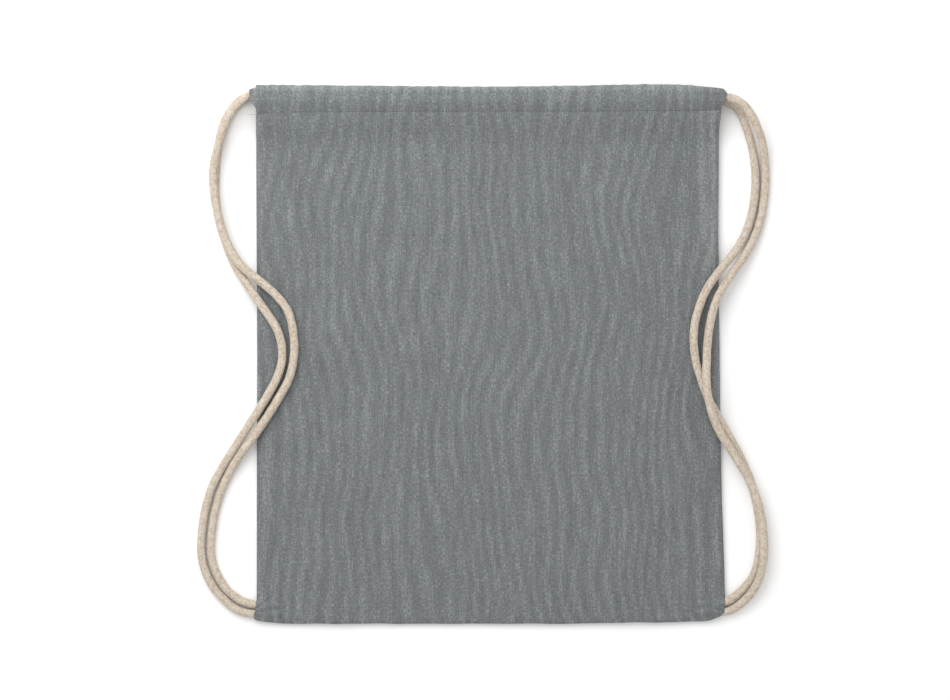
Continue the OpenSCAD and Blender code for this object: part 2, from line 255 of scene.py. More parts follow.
# ---------------------------------------------------------------- node helpers for the materials
class Nodes:
    """Builds a material's node tree with short calls."""

    def __init__(self, name):
        self.material = bpy.data.materials.new(name)
        self.material.use_nodes = True
        self.tree = self.material.node_tree
        self.shader = self.tree.nodes["Principled BSDF"]

    def add(self, kind, **settings):
        node = self.tree.nodes.new(kind)
        for key, value in settings.items():
            setattr(node, key, value)
        return node

    def join(self, output, socket):
        self.tree.links.new(output, socket)

    def give(self, socket, value):
        """A plain number sits on the socket itself, and anything else is joined to it."""
        if isinstance(value, (int, float)):
            socket.default_value = value
        else:
            self.join(value, socket)

    def surface(self, **sockets):
        """Values for the shader, by the names of its sockets with _ for a space."""
        for name, value in sockets.items():
            self.give(self.shader.inputs[name.replace("_", " ")], value)

    def math(self, operation, a, b=None, c=None):
        node = self.add("ShaderNodeMath", operation=operation)
        for socket, value in zip(node.inputs, (a, b, c)):
            if value is not None:
                self.give(socket, value)
        return node.outputs[0]

    def layers(self, start, *weighted):
        """A start value plus each layer times its weight."""
        total = start
        for layer, weight in weighted:
            total = self.math("MULTIPLY_ADD", layer, weight, total)
        return total

    def uv_parts(self):
        uv = self.add("ShaderNodeUVMap", uv_map="cloth")
        parts = self.add("ShaderNodeSeparateXYZ")
        self.join(uv.outputs[0], parts.inputs[0])
        return parts.outputs[0], parts.outputs[1]

    def combine(self, x, y, z=0.0):
        node = self.add("ShaderNodeCombineXYZ")
        for socket, value in zip(node.inputs, (x, y, z)):
            self.give(socket, value)
        return node.outputs[0]

    def noise(self, vector, scale, detail=2.0, roughness=0.5):
        node = self.add("ShaderNodeTexNoise")
        node.inputs["Scale"].default_value = scale
        node.inputs["Detail"].default_value = detail
        node.inputs["Roughness"].default_value = roughness
        self.join(vector, node.inputs["Vector"])
        return node.outputs["Fac"]

    def grain(self, x, y, across, along, detail, roughness=0.5):
        """Noise with so many cells to a unit of x across the cloth or cord, and of y along it."""
        place = self.combine(self.math("MULTIPLY", x, across), self.math("MULTIPLY", y, along))
        return self.noise(place, 1.0, detail, roughness)

    def rise(self, value, low, high):
        """0 below low, 1 above high, and a smooth rise between."""
        node = self.add("ShaderNodeMapRange", interpolation_type="SMOOTHSTEP")
        self.join(value, node.inputs["Value"])
        node.inputs["From Min"].default_value = low
        node.inputs["From Max"].default_value = high
        return node.outputs["Result"]

    def ramp(self, factor, stops):
        node = self.add("ShaderNodeValToRGB")
        elements = node.color_ramp.elements
        while len(elements) < len(stops):
            elements.new(0.5)
        for element, (position, colour) in zip(elements, stops):
            element.position = position
            element.color = (*colour, 1.0)
        self.join(factor, node.inputs[0])
        return node.outputs[0]

    def bump(self, height, distance, strength=1.0, normal=None):
        node = self.add("ShaderNodeBump")
        node.inputs["Distance"].default_value = distance
        node.inputs["Strength"].default_value = strength
        self.join(height, node.inputs["Height"])
        if normal is not None:
            self.join(normal, node.inputs["Normal"])
        return node.outputs[0]


YARN = 0.55 * MM  # distance between neighbouring yarns of the cloth
BAND = 11.2 * MM  # distance between neighbouring wavy bands
CLOTH_TONES = [
    (0.36, (0.0787, 0.0844, 0.0860)),
    (0.72, (0.1532, 0.1642, 0.1667)),
    (1.0, (0.2899, 0.3065, 0.3096)),
]


def cloth_material(name, tone=1.0, sides=1.0, fold=0.0):
    """Plain-weave heather cotton: dark and light fibres, slubs along the warp and faint wavy bands.

    tone scales the colours. sides sets the painted light at the side edges, paler there in part also from the
    seam allowances beneath, and painted shade if negative. fold sets the painted highlight where the cloth
    turns over at the mouth.
    """
    n = Nodes(name)
    x, y = n.uv_parts()
    flecks = n.grain(x, y, 1000.0, 420.0, 3.0, 0.65)
    cross_flecks = n.grain(x, y, 300.0, 1100.0, 2.0, 0.6)
    slubs = n.grain(x, y, 560.0, 60.0, 2.0, 0.6)
    streaks = n.grain(x, y, 120.0, 12.0, 2.0)
    clouds = n.grain(x, y, 38.0, 24.0, 2.0)
    drift = n.grain(x, y, 9.0, 7.0, 1.0)
    fading = n.grain(x, y, 21.0, 13.0, 1.0)
    phase = n.math("ADD", n.math("MULTIPLY", x, 2 * math.pi / BAND), n.math("MULTIPLY", drift, 40.0))
    bands = n.math("MULTIPLY", n.math("SINE", phase), n.math("MULTIPLY_ADD", fading, 1.6, 0.2))
    # Paler near both side edges: partly the seam allowances beneath, partly painted light wrapping round the
    # rounded edges.
    seam_and_edge_light = n.rise(n.math("ABSOLUTE", x), HALF - 22 * MM, HALF - 5 * MM)
    # Painted highlight along the upper half of the right edge; with a negative sides it becomes painted shade
    # at the channel's right end.
    upper_right_painted_light = n.math("MULTIPLY", n.rise(x, HALF - 30 * MM, HALF - 4 * MM), n.rise(y, -70 * MM, 70 * MM))
    # Painted highlight where the cloth turns over the channel's top edge, as strong as fold says.
    mouth_fold_highlight = n.rise(y, HEM_Y + 5 * MM, HEM_Y + 21 * MM)
    shade = n.layers(
        -0.275,
        (flecks, 0.86),
        (cross_flecks, 0.46),
        (slubs, 0.38),
        (streaks, 0.18),
        (clouds, 0.08),
        (bands, 0.042),
        (seam_and_edge_light, 0.015 * sides),
        (upper_right_painted_light, 0.09 * sides),
        (mouth_fold_highlight, fold),
    )
    colour = n.ramp(shade, [(place, tuple(c * tone for c in grey)) for place, grey in CLOTH_TONES])
    warp = n.math("SINE", n.math("MULTIPLY", x, 2 * math.pi / YARN))
    weft = n.math("SINE", n.math("MULTIPLY", y, 2 * math.pi / YARN))
    weave = n.math("MULTIPLY", warp, weft)
    ribs = n.math("MULTIPLY_ADD", n.math("ABSOLUTE", warp), 0.6, weave)
    normal = n.bump(ribs, 0.10 * MM, 0.55)
    normal = n.bump(flecks, 0.35 * MM, 0.45, normal)
    rough = n.math("MULTIPLY_ADD", flecks, 0.12, 0.80)
    n.surface(Base_Color=colour, Normal=normal, Roughness=rough)
    n.surface(Specular_IOR_Level=0.18, Sheen_Weight=0.12, Sheen_Roughness=0.6)
    return n.material


BRAID_STRANDS = 12  # strands of yarn that run each way round a cord
BRAID_PITCH = 26 * MM  # length of cord in which a strand goes once round
CORD_TONES = [
    (0.22, (0.262, 0.191, 0.136)),
    (0.38, (0.470, 0.369, 0.273)),
    (0.54, (0.557, 0.498, 0.423)),
    (0.78, (0.696, 0.662, 0.609)),
]


def cord_material():
    """Natural cotton braid: each crossing of two strands has its own tint, with fine fibres along it."""
    n = Nodes("cord_cotton")
    around, along = n.uv_parts()
    turns = n.math("MULTIPLY", along, 1 / BRAID_PITCH)
    right = n.math("MULTIPLY", n.math("ADD", around, turns), float(BRAID_STRANDS))
    left = n.math("MULTIPLY", n.math("SUBTRACT", around, turns), float(BRAID_STRANDS))
    cell = n.add("ShaderNodeTexWhiteNoise", noise_dimensions="2D")
    n.join(n.combine(n.math("FLOOR", right), n.math("FLOOR", left)), cell.inputs["Vector"])
    fibre = n.grain(around, along, 90.0, 2200.0, 3.0, 0.6)
    stain = n.grain(around, along, 2.0, 60.0, 2.0)
    across_right = n.math("SINE", n.math("MULTIPLY", n.math("FRACT", right), math.pi))
    across_left = n.math("SINE", n.math("MULTIPLY", n.math("FRACT", left), math.pi))
    # 1 on the braid's crowns and 0 in its grooves; in the shade below it darkens the grooves, painted shade
    # over the mesh's own relief.
    groove = n.math("MULTIPLY", across_right, across_left)
    shade = n.layers(-0.045, (cell.outputs["Value"], 0.22), (fibre, 0.68), (stain, 0.06), (groove, 0.10))
    normal = n.bump(fibre, 0.30 * MM, 0.6)
    rough = n.math("MULTIPLY_ADD", fibre, 0.15, 0.75)
    n.surface(Base_Color=n.ramp(shade, CORD_TONES), Normal=normal, Roughness=rough)
    n.surface(Specular_IOR_Level=0.2, Sheen_Weight=0.15, Sheen_Roughness=0.5)
    return n.material


THREAD_TWIST = 0.45 * MM
THREAD_TONES = [(0.30, (0.070, 0.075, 0.077)), (0.75, (0.180, 0.192, 0.197))]


def thread_material():
    """Two-ply grey sewing thread: a fine diagonal twist."""
    n = Nodes("sewing_thread")
    place = n.add("ShaderNodeTexCoord")
    parts = n.add("ShaderNodeSeparateXYZ")
    n.join(place.outputs["Object"], parts.inputs[0])
    diagonal = n.math("ADD", parts.outputs[0], n.math("ADD", parts.outputs[1], parts.outputs[2]))
    twist = n.math("SINE", n.math("MULTIPLY", diagonal, 2 * math.pi / THREAD_TWIST))
    mottle = n.noise(place.outputs["Object"], 900.0, 2.0, 0.6)
    # The twist in the colour is painted shade: darker along the grooves of the twist that the bump also
    # draws.
    shade = n.math("MULTIPLY_ADD", twist, 0.12, mottle)
    normal = n.bump(twist, 0.05 * MM, 0.6)
    n.surface(Base_Color=n.ramp(shade, THREAD_TONES), Normal=normal, Roughness=0.7, Sheen_Weight=0.1)
    return n.material


# ---------------------------------------------------------------- cords
def smooth_route(points, per_leg=16):
    """Points of the same smooth curve that the CAD cord follows."""
    p = np.array(points, float)
    last = len(p) - 1
    found = []
    for i in range(last):
        a, b = p[max(i - 1, 0)], p[i]
        c, d = p[i + 1], p[min(i + 2, last)]
        squared = 2 * a - 5 * b + 4 * c - d
        cubed = 3 * b - a - 3 * c + d
        for t in np.linspace(0, 1, per_leg, endpoint=False):
            found.append((2 * b + (c - a) * t + squared * t**2 + cubed * t**3) / 2)
    found.append(p[-1])
    return np.array(found)


def evenly(points, step):
    """The same line with points a step apart."""
    lengths = np.concatenate([[0], np.cumsum(np.linalg.norm(np.diff(points, axis=0), axis=1))])
    count = max(int(round(lengths[-1] / step)), 2)
    places = np.linspace(0, lengths[-1], count + 1)
    return np.stack([np.interp(places, lengths, points[:, k]) for k in range(3)], 1), places


def braid_relief(around, along):
    """Height of the braid from 0 in its grooves to 1 on its crowns."""
    right = BRAID_STRANDS * (around + along / BRAID_PITCH)
    left = BRAID_STRANDS * (around - along / BRAID_PITCH)
    across_right = np.sin(np.pi * (right % 1.0))
    across_left = np.sin(np.pi * (left % 1.0))
    right_on_top = (np.floor(right) + np.floor(left)) % 2 == 0
    right_crown = across_right**0.7 * across_left**0.25
    left_crown = across_left**0.7 * across_right**0.25
    return np.where(right_on_top, right_crown, left_crown)


RELIEF = 0.20 * MM  # depth of the braid's grooves
UNEVENNESS = 0.05 * MM


def directions_across(centres):
    """For each point of a line, the level direction across it and the one above it."""
    heading = np.gradient(centres, axis=0)
    heading /= np.linalg.norm(heading, axis=1, keepdims=True)
    across = np.cross(heading, np.array([0.0, 0.0, 1.0]))
    upright = np.linalg.norm(across, axis=1) < 0.2
    across[upright] = np.cross(heading[upright], np.array([0.0, 1.0, 0.0]))
    across /= np.linalg.norm(across, axis=1, keepdims=True)
    return across, np.cross(across, heading)


def cord_mesh(name, line, diameter, sides=32, step=0.5 * MM, squash=None):
    """A braided tube along a line. squash(distance) gives its width and height as shares of the diameter."""
    centres, places = evenly(line, step)
    across, above = directions_across(centres)
    turn = np.arange(sides) / sides
    around, along = np.meshgrid(turn, places)
    radius = diameter / 2 - RELIEF * (1 - braid_relief(around, along))
    radius += UNEVENNESS * soft_noise(around * 0.02, along, 9 * MM, len(centres))
    wide, high = (np.ones(len(places)),) * 2 if squash is None else squash(places, places[-1])
    cosine = (np.cos(2 * np.pi * around) * wide[:, None])[..., None]
    sine = (np.sin(2 * np.pi * around) * high[:, None])[..., None]
    rings = centres[:, None, :] + radius[..., None] * (across[:, None, :] * cosine + above[:, None, :] * sine)
    # A doubled last column keeps the texture's seam clean.
    rings = np.concatenate([rings, rings[:, :1]], axis=1)
    uv = np.stack(np.meshgrid(np.append(turn, 1.0), places), -1)
    index = np.arange(len(centres) * (sides + 1)).reshape(len(centres), sides + 1)
    faces = [tuple(f) for f in quads(index)]
    faces.append(tuple(index[0, :-1][::-1]))
    faces.append(tuple(index[-1, :-1]))
    normals = ring_normals(rings)
    mesh = build_mesh(name, rings.reshape(-1, 3), faces, uv.reshape(-1, 2), normals.reshape(-1, 3))
    return link(name, mesh), centres, places[-1]


def ring_normals(rings):
    """Smooth normals of a tube whose last column repeats its first."""
    along = np.gradient(rings, axis=0)
    closed = np.concatenate([rings[:, -2:-1], rings, rings[:, 1:2]], axis=1)
    around = (closed[:, 2:] - closed[:, :-2]) / 2
    normal = np.cross(around, along)
    return normal / np.maximum(np.linalg.norm(normal, axis=2, keepdims=True), 1e-12)


def strap_line(route, side):
    """A strap's whole line: inside its channel, along the route, and into the bottom corner."""
    start, end = route[0], route[-1]
    inside = [(start[0] - side * back, start[1], start[2]) for back in (INTO_CASING, INTO_CASING / 2)]
    corner = [(end[0] - side * back, end[1], end[2]) for back in (INTO_CORNER / 2, INTO_CORNER)]
    return smooth_route(inside + list(route) + corner) * MM


def flatten_in_corner(places, length):
    """The cord is round until it enters the corner, where the seam presses it flat."""
    over = 8 * MM
    pressed = smoothstep((places - (length - over)) / over)
    return 1 + 0.04 * pressed, 1 - 0.45 * pressed


def add_straps(material):
    straps = [
        ("left_front_strap", LEFT_FRONT_ROUTE, -1, "left_cord"),
        ("left_back_strap", LEFT_BACK_ROUTE, -1, "left_cord"),
        ("right_front_strap", RIGHT_FRONT_ROUTE, 1, "right_cord"),
        ("right_back_strap", RIGHT_BACK_ROUTE, 1, "right_cord"),
    ]
    for node, route, side, body in straps:
        line = strap_line(route, side)
        strap, centres, length = cord_mesh(node + "_braid", line, CORD, squash=flatten_in_corner)
        dress(strap, material, node)
        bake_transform(strap)
        tuple(centres[0])


# ---------------------------------------------------------------- the bag's outline and heights
# The side edges give X by Y. The hem's stitches and the corners' rise above the fold give Y by X.
left_edge = curve_through(
    [-209, -204, -197, -190, -60, 0, 60, 150, 210],
    [-182.2, -181.9, -180.8, -179.9, -179.7, -179.5, -179.8, -180.2, -180.1],
)
right_edge = curve_through(
    [-209, -202, -190, -168, -113, -60, 30, 90, 172, 180, 184, 210],
    [180.4, 181.8, 182.8, 182.4, 180.4, 179.3, 178.3, 177.6, 178.0, 178.5, 179.5, 179.7],
)
hem_line = curve_through(
    [-190, -178, -165, -70, 85, 160, 178, 190],
    [185.2, 185.4, 186.6, 187.3, 187.4, 187.9, 188.3, 188.4],
)
corner_lift = curve_through(
    [-190, -181, -173, -158, -140, 130, 158, 166, 170, 177, 182, 190],
    [3.2, 2.9, 1.4, 0.1, 0, 0, 0.6, 1.0, 1.8, 4.7, 6.9, 7.4],
    1.0,
)
SIDE_AT_FOLD, SIDE_AT_HEM = 4.5 * MM, 8.3 * MM
MIDDLE_AT_FOLD, MIDDLE_AT_HEM = 6.3 * MM, 12.9 * MM
SLOPE_WIDTH = 60 * MM
EDGE_ROUND = 4 * MM
FRONT_HEM_Z = 18.4 * MM
BACK_HEM_Z = 2.2 * MM
FRONT_RISE = 30 * MM  # length of cloth in which the front rises to the hem
BACK_RISE = 22 * MM
SEAM_RISE = 28 * MM
CORD_LIFT = 2.9 * MM  # how far the cords in the bottom corners raise the cloth
CORD_LIFT_WIDTH, CORD_LIFT_HEIGHT = 15 * MM, 8.5 * MM
CORD_ENDS_Y = -197 * MM
CORNER_CORDS_X = 152 * MM  # from here outward the cloth bears on the cords' flattened ends
CORNER_LANE = 3.2 * MM  # from the edge of a corner's cord ends to the middle of the nearer one
CORNER_CORD_Z = 3.3 * MM
ARCH_HALF_WIDTH = 4 * MM
ARCH_HEIGHT = 3.8 * MM
TABLE_GAP = 0.06 * MM


def height_share(y):
    return np.clip((y - FOLD_Y) / (HEM_Y - FOLD_Y), 0, 1)


def edge_distance(x, y):
    return np.minimum(x - left_edge(y), right_edge(y) - x)


def puckers(x, y):
    """Small wrinkles: along the hem, at both ends of the channel, and in the bottom corners."""
    hem_share = np.exp(-np.abs(hem_line(x) - y) / (7 * MM))
    hem = 0.22 * MM * soft_noise(x, y * 0.25, 10 * MM, 3) * hem_share
    wave = (y + 0.12 * x + 1.5 * MM * soft_noise(x, y, 40 * MM, 5)) / (5.8 * MM)
    creases = 1.2 * MM * (np.abs(np.sin(math.pi * wave)) ** 0.7 - 0.6) * spot(x, y, (180, 184), (24, 11))
    ripple = 0.3 * MM * np.cos(2 * math.pi * (y - 0.3 * x) / (6.5 * MM)) * spot(x, y, (-180, 183), (16, 9))
    corners = 0
    for side in SIDE_NAMES:
        angle = np.arctan2(y + 200 * MM, (x - side * 184 * MM) * -side)
        fan = 1.1 * MM * (np.abs(np.sin(angle * 6.5 + side)) ** 0.8 - 0.6)
        corners = corners + fan * spot(x, y, (side * 176, -194), (20, 20))
    return hem + creases + ripple + corners


def relief(x, y):
    """Broad, shallow unevenness of cloth that lies almost flat."""
    calm = smoothstep((edge_distance(x, y) - 4 * MM) / (30 * MM))
    broad = 0.42 * MM * soft_noise(x, y, 95 * MM, 11)
    fine = 0.10 * MM * soft_noise(x, y, 26 * MM, 12)
    return (broad + fine) * calm - 0.25 * MM * calm + puckers(x, y)


def under_strap(x, y):
    """Where the straps cross the bag the cloth is pressed down."""
    return -0.35 * MM * (spot(x, y, (-157, 0), (13, 55)) + spot(x, y, (165, 0), (13, 55)))


def round_cords(x, y, z, way):
    """The cloth's edge goes over (way 1) or under (way -1) the cords that enter the bottom corners."""
    for side, (low, high) in CORNER_BOXES.items():
        for lane in (low.y + CORNER_LANE, high.y - CORNER_LANE):
            across = np.clip(1 - ((y - lane) / ARCH_HALF_WIDTH) ** 2, 0, 1)
            arch = CORNER_CORD_Z + way * ARCH_HEIGHT * np.sqrt(across)
            wrapped = np.maximum(z, arch) if way > 0 else np.maximum(np.minimum(z, arch), TABLE_GAP)
            near = smoothstep((x * side - CORNER_CORDS_X) / (12 * MM)) * (across > 0)
            z = z + (wrapped - z) * near
    return z


def seam_z(y):
    """Height of the line where front and back meet at the sides."""
    low = 0.5 * (SIDE_AT_FOLD + (SIDE_AT_HEM - SIDE_AT_FOLD) * height_share(y))
    at_hem = 0.5 * (FRONT_HEM_Z + BACK_HEM_Z)
    return low + (at_hem - low) * smoothstep((y - HEM_Y + SEAM_RISE) / SEAM_RISE)


def rounded_rim(x, y):
    """0 on the side edges and 1 further in, along a quarter circle."""
    outward = 1 - np.clip(edge_distance(x, y) / EDGE_ROUND, 0, 1)
    return np.sqrt(np.clip(1 - outward**2, 0, 1))


def front_z(x, y):
    """Height of the front cloth's outer face."""
    share = height_share(y)
    side = SIDE_AT_FOLD + (SIDE_AT_HEM - SIDE_AT_FOLD) * share
    middle = MIDDLE_AT_FOLD + (MIDDLE_AT_HEM - MIDDLE_AT_FOLD) * share
    inward = edge_distance(x, y)
    dome = 1 - (1 - np.clip(inward / SLOPE_WIDTH, 0, 1)) ** 1.7
    z = side + (middle - side) * dome
    from_cords = ((y - CORD_ENDS_Y) / CORD_LIFT_HEIGHT) ** 2 + (inward / CORD_LIFT_WIDTH) ** 2
    z = z + CORD_LIFT * np.exp(-from_cords)
    z = z + relief(x, y) + under_strap(x, y)
    to_hem = smoothstep((y - hem_line(x) + FRONT_RISE) / FRONT_RISE)
    z = z + (FRONT_HEM_Z + puckers(x, y) - z) * to_hem
    groove = 0.08 * MM * np.exp(-(((hem_line(x) - y) / (0.8 * MM)) ** 2))
    edge = round_cords(x, y, seam_z(y), 1)
    return edge + (np.maximum(z - groove, edge) - edge) * rounded_rim(x, y)


def back_z(x, y):
    """Height of the back cloth's outer face, which lies on the table."""
    floor = 0.15 * MM + 0.12 * MM * (1 + soft_noise(x, y, 40 * MM, 21) / 3)
    to_hem = smoothstep((y - hem_line(x) + BACK_RISE) / BACK_RISE)
    z = floor + (BACK_HEM_Z - floor) * to_hem
    edge = round_cords(x, y, seam_z(y), -1)
    return edge + (z - edge) * rounded_rim(x, y)


EDGE_STEPS = np.array([0, 0.12, 0.4, 0.8, 1.3, 1.9, 2.6, 3.3, 4.0]) * MM
END_STEPS = np.array([0, 0.3, 0.7, 1.2, 1.8, 2.6]) * MM
CORNER_DEPTH = 20 * MM  # the rows lie closer together up to here


def columns_across(spacing):
    """Shares of the width from 0 to 1, close together at both side edges."""
    width = 2 * HALF
    edge = EDGE_STEPS / width
    inner = np.linspace(edge[-1], 1 - edge[-1], int(width / spacing) | 1)
    return np.concatenate([edge[:-1], inner, 1 - edge[:-1][::-1]])


def panel_grid(height, spacing):
    """Rows of points from the fold to the hem, with their place in the cloth as UVs."""
    across = columns_across(spacing)
    corner = np.arange(0, CORNER_DEPTH, 0.8 * MM) / (HEM_Y - FOLD_Y)
    up = np.linspace(corner[-1], 1, int((HEM_Y - FOLD_Y) / spacing))
    at_hem = 1 - np.array([0.9, 0.6, 0.3, 0.0]) * (up[-1] - up[-2])
    up = np.concatenate([corner[:-1], up[:-1], at_hem])
    share, rise = np.meshgrid(across, up)
    x = (share * 2 - 1) * HALF
    y = FOLD_Y + corner_lift(x) + rise * (hem_line(x) - FOLD_Y - corner_lift(x))
    x = left_edge(y) + share * (right_edge(y) - left_edge(y))
    return np.stack([x, y, height(x, y)], -1), np.stack([x, y], -1)


def bend_at_mouth(piece, side):
    """Bakes the piece's place into its mesh."""
    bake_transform(piece)


def halves(grid, *more):
    """The left and right half of a grid, with the middle column in both."""
    middle = grid.shape[1] // 2
    for side, part in ((-1, slice(None, middle + 1)), (1, slice(middle, None))):
        yield side, grid[:, part], *(m[:, part] for m in more)


def front_halves(node, material, grid, uv, way=1):
    """The two halves of a front piece. way is -1 to turn their face over."""
    for side, points, places, normals in halves(grid, uv, way * grid_normals(grid)):
        name = f"{node}_{SIDE_NAMES[side]}_half"
        half = sheet_piece(name, points[:, ::way], places[:, ::way], normals=normals[:, ::way])
        dress(half, material, node)
        bend_at_mouth(half, side)
        yield half


def back_sheet(node, material, grid, uv, way=-1, thickness=CLOTH):
    """A sheet of cloth that stays with the back. way is -1 to turn its face over."""
    sheet = sheet_piece(f"{node}_cloth", grid[:, ::way], uv[:, ::way], thickness)
    dress(sheet, material, node)
    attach(sheet, "bag_back")
    return sheet


def add_front_panel(material):
    grid, uv = panel_grid(front_z, 2.0 * MM)
    for half in front_halves("front_panel", material, grid, uv):
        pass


def add_back_panel(material):
    grid, uv = panel_grid(back_z, 3.0 * MM)
    panel = back_sheet("back_panel", material, grid, uv)


def add_bottom_fold(material):
    """The turn of the cloth at the bottom, tucked a little under both panels."""
    across = columns_across(2.0 * MM)
    turns = np.linspace(-0.12, 1.12, 17) * math.pi
    share, turn = np.meshgrid(across, turns)
    x = (share * 2 - 1) * HALF
    y_fold = FOLD_Y + corner_lift(x)
    x = left_edge(y_fold) + share * (right_edge(y_fold) - left_edge(y_fold))
    tuck = 0.04 * MM
    top, bottom = front_z(x, y_fold) - tuck, back_z(x, y_fold) + tuck
    reach = (MOUTH_Y + FOLD_Y) * np.clip(edge_distance(x, y_fold) / (1.5 * MM), 0.85, 1)
    lower_left = 0.9 * MM * smoothstep((120 * MM - x) / (60 * MM))
    reach = reach + lower_left + 0.10 * MM * soft_noise(x, 0 * x, 30 * MM, 31)
    radius = (top - bottom) / 2
    y = y_fold - reach * np.sin(turn)
    z = (top + bottom) / 2 + radius * np.cos(turn)
    fold = back_sheet("bottom_fold", material, np.stack([x, y, z], -1), np.stack([x, y - z], -1))


# ---------------------------------------------------------------- the cord channels
casing_top = curve_through(
    [-196, -180, -150, -60, 0, 60, 125, 140, 156, 172, 180, 196],
    [207.4, 207.4, 207.3, 206.6, 206.1, 206.7, 208, 207.8, 207.2, 205.6, 204.2, 200.8],
)
# Where the channels end, in millimetres of X, from their foot at the hem (0) to their top edge (1000)
left_end = curve_through(
    [0, 180, 220, 467, 850, 885, 1000],
    [-179.4, -179.7, -180.2, -184.4, -184.7, -179.8, -179.6],
    8,
)
right_end = curve_through(
    [0, 210, 330, 440, 600, 800, 920, 1000],
    [178.9, 179.2, 181.9, 183.2, 183.6, 183.3, 182.2, 180.5],
    8,
)
CASING_BULGE = 3.95 * MM
CASING_CLEARANCE = 4.05 * MM  # from a cord's middle to the outer wall, where it lies closest
CROWN = 0.42  # where the front channel is highest, between its foot and its top edge
SEAM_DEPTH = 0.3 * MM  # a turned-in hem starts this far behind the panel


def tube_thickness(share):
    """Half the thickness of a channel from its foot to its top edge, as a share of its greatest."""
    rising = np.sin(np.clip(share / CROWN, 0, 1) * math.pi / 2)
    falling = np.sqrt(1 - np.clip((share - CROWN) / (1 - CROWN), 0, 1) ** 2.2)
    return np.where(share < CROWN, rising, falling)


def over_cords(y):
    """Half the thickness a channel needs at y to clear the cords that lie in it."""
    lanes = (UPPER_LANE_Y, LOWER_LANE_Y)
    return np.sqrt(np.maximum(*(np.maximum(CASING_CLEARANCE**2 - (y - lane) ** 2, 0) for lane in lanes)))


def front_wall_z(share, y):
    """Height of the front channel's outer wall: a gentle rise from the hem, then round over the cords."""
    crown = FRONT_LANE_Z + CASING_BULGE
    rising = FRONT_HEM_Z + (crown - FRONT_HEM_Z) * np.sin(np.clip(share / CROWN, 0, 1) * math.pi / 2)
    falling = FRONT_LANE_Z + CASING_BULGE * tube_thickness(share)
    return np.maximum(np.where(share < CROWN, rising, falling), FRONT_LANE_Z + over_cords(y))


def places_along_channel():
    """Places from -1 at the left end of a channel to 1 at its right end, close together at both ends."""
    near_end = 1 - END_STEPS / (CHANNEL_LENGTH / 2)
    right = np.concatenate([np.linspace(0, near_end[-1], 120)[:-1], near_end[::-1]])
    return np.concatenate([-right[:0:-1], right])


def casing_ply(inner, front, reach=None):
    """One wall of a channel as a grid. inner is the hem turned into the bag, front is the front channel."""
    turns = np.linspace(0, math.pi, 31)
    turn, place = np.meshgrid(turns, places_along_channel(), indexing="ij")
    share = (1 - np.cos(turn)) / 2
    low, high = (left_end(share), right_end(share)) if reach is None else (-reach, reach)
    x = np.where(place < 0, -place * low, place * high)
    top = casing_top(x) + 0.14 * MM * soft_noise(x, 0 * x, 9 * MM, 41 if front else 42)
    foot = hem_line(x)
    y = foot + (top - foot) * share
    bulge = CASING_BULGE * tube_thickness(share)
    to_lane = smoothstep(share / 0.35)
    if front and inner:
        foot_z = FRONT_HEM_Z - SEAM_DEPTH
        middle = foot_z + (FRONT_LANE_Z - FRONT_HEM_Z) * to_lane
        z = middle - np.maximum(bulge, over_cords(y))
    elif front:
        wrinkle = (0.20 * MM * soft_noise(x, y * 0.3, 13 * MM, 43) + puckers(x, y)) * np.sin(turn)
        z = front_wall_z(share, y) + wrinkle
    else:
        foot_z = BACK_HEM_Z + (SEAM_DEPTH if inner else 0.0)
        middle = foot_z + (BACK_LANE_Z - BACK_HEM_Z) * to_lane
        z = np.maximum(middle + (bulge if inner else -bulge), 0.08 * MM)
    if front:
        z = z + puckers(x, foot) * (1 - share) ** 4
    steps = np.hypot(np.diff(y, axis=0), np.diff(z, axis=0))
    arc = np.cumsum(np.concatenate([np.zeros((1, x.shape[1])), steps]), axis=0)
    return np.stack([x, y, z], -1), np.stack([x, HEM_Y + arc], -1)


def add_casings(material):
    """The channels' outer walls."""
    for half in front_halves("front_casing", material, *casing_ply(False, True)):
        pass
    wall = back_sheet("back_casing", material, *casing_ply(False, False))


def add_hem_turn_ins(material):
    """The hems turned inside, which are the channels' inner walls."""
    for half in front_halves("front_hem_turn_in", material, *casing_ply(True, True, TURN_IN_X), way=-1):
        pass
    turned = back_sheet("back_hem_turn_in", material, *casing_ply(True, False, TURN_IN_X), way=1)


# ---------------------------------------------------------------- stitching
STITCH_PROFILE = [(-0.5, 0.35), (-0.42, 0.85), (0, 1.0), (0.42, 0.85), (0.5, 0.35)]
STITCH_SIDES = 6


def stitch_shape():
    """One stitch as a small rounded rod along X, half a unit each way."""
    rings = []
    for along, thick in STITCH_PROFILE:
        for angle in np.arange(STITCH_SIDES) * 2 * math.pi / STITCH_SIDES:
            rings.append((along, thick * math.cos(angle), thick * math.sin(angle)))
    faces = []
    for here in range(0, len(rings) - STITCH_SIDES, STITCH_SIDES):
        ahead = here + STITCH_SIDES
        for k in range(STITCH_SIDES):
            after = (k + 1) % STITCH_SIDES
            faces.append((here + k, here + after, ahead + after, ahead + k))
    faces.append(tuple(range(STITCH_SIDES))[::-1])
    faces.append(tuple(range(len(rings) - STITCH_SIDES, len(rings))))
    return np.array(rings), faces


def stitch_row(name, starts, ends, radius):
    """A mesh of stitches, one from each start to its end."""
    shape, shape_faces = stitch_shape()
    points, faces = [], []
    for start, end in zip(starts, ends):
        way = end - start
        length = np.linalg.norm(way)
        way = way / length
        side = np.cross([0, 0, 1.0], way)
        side /= np.linalg.norm(side)
        up = np.cross(way, side)
        base = len(points) * len(shape)
        rod = shape[:, :1] * length * way + radius * (shape[:, 1:2] * side + shape[:, 2:] * up)
        points.append((start + end) / 2 + rod)
        faces.extend(tuple(i + base for i in f) for f in shape_faces)
    return link(name, build_mesh(name, np.concatenate(points), faces))


